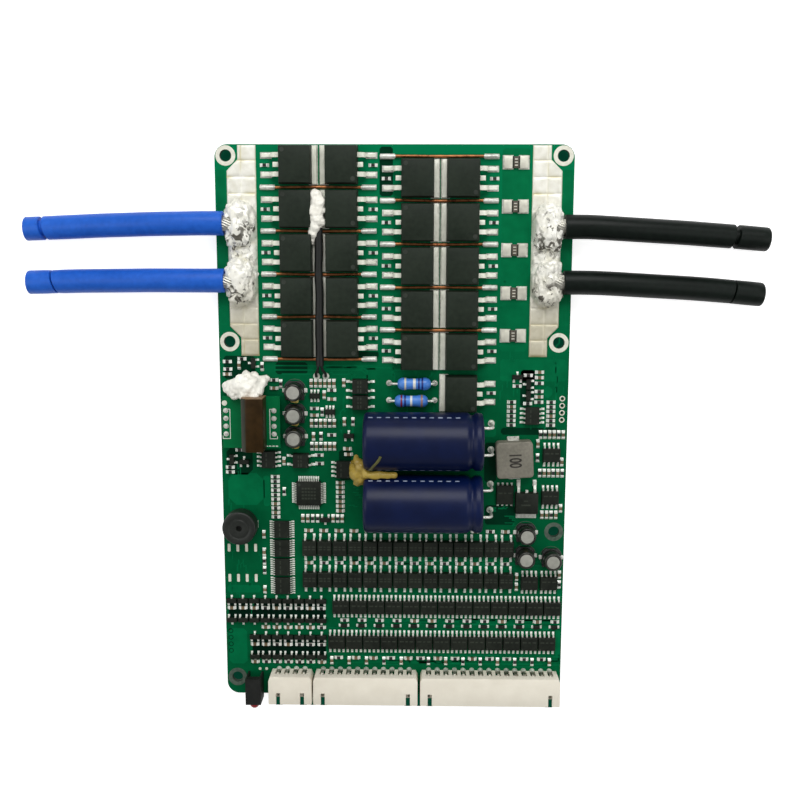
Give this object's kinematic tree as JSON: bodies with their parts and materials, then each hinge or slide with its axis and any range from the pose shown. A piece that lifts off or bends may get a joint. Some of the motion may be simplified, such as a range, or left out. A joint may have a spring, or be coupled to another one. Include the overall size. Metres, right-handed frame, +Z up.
{
  "type": "battery management board",
  "caption": "Battery management board: banks of power transistors, tinned bus pads with thick cables, lying capacitors, chip rows and side-entry sense connectors along one edge.",
  "frame": {"origin": "middle of the bounding box of everything but the four cables, at the height of the lowest wire tails it stands on", "axes": "+X across the board towards the black cables, +Y along the board away from the sense connectors, +Z up out of the component side"},
  "size_m": [0.2021, 0.1594, 0.0192],
  "materials": {
    "board": "satin solder mask",
    "solder": "rough tinned",
    "chip_body": "matt moulded",
    "copper": "bare copper",
    "sleeve": "satin heat-shrunk",
    "can": "satin",
    "black_plastic": "satin moulded",
    "powder_block": "matt pressed powder",
    "potting": "satin cast",
    "ivory_plastic": "satin moulded",
    "tinned": "tin plated",
    "lens": "clear tinted",
    "blue_sheath": "satin silicone",
    "black_sheath": "satin silicone",
    "blue_coating": "lacquered",
    "chip_parts": "matt",
    "silicone": "satin cured",
    "glue": "satin cured",
    "probe_sleeve": "satin shrunk",
    "transistor": "matt moulded with plated tab"
  },
  "bodies": {
    "root": {"circuit_board": "board", "bus_pad_left": "solder", "bus_pad_right": "solder", "shunt_resistors": "chip_body", "copper_links": "copper", "storage_capacitor_upper": "sleeve", "storage_capacitor_lower": "sleeve", "can_capacitors": "can", "can_bases": "black_plastic", "inductor": "powder_block", "converter_board": "board", "converter_transformer": "potting", "converter_headers": "black_plastic", "buzzer": "black_plastic", "connector_shell_4": "ivory_plastic", "connector_shell_11": "ivory_plastic", "connector_shell_15": "ivory_plastic", "connector_pins_4": "tinned", "connector_pins_11": "tinned", "connector_pins_15": "tinned", "indicator_holder": "black_plastic", "indicator_led": "lens", "cable_blue_upper": "blue_sheath", "cable_blue_lower": "blue_sheath", "cable_black_upper": "black_sheath", "cable_black_lower": "black_sheath", "cable_cores": "tinned", "axial_resistors": "blue_coating", "microcontroller": "chip_body", "monitor_chips": "chip_body", "optocouplers": "chip_body", "driver_chips": "chip_body", "support_chips": "chip_body", "small_transistors": "chip_body", "chip_components": "chip_parts", "silicone_blobs": "silicone", "staking_glue": "glue", "temperature_probe": "probe_sleeve", "mosfet_a1": "transistor", "mosfet_a2": "transistor", "mosfet_a3": "transistor", "mosfet_a4": "transistor", "mosfet_a5": "transistor", "mosfet_b1": "transistor", "mosfet_b2": "transistor", "mosfet_b3": "transistor", "mosfet_b4": "transistor", "mosfet_b5": "transistor", "mosfet_c1": "transistor", "mosfet_c2": "transistor", "mosfet_c3": "transistor", "mosfet_c4": "transistor", "mosfet_c5": "transistor", "mosfet_d1": "transistor", "mosfet_d2": "transistor", "mosfet_d3": "transistor", "mosfet_d4": "transistor", "mosfet_d5": "transistor", "mosfet_d6": "transistor"}
  },
  "joints": []
}
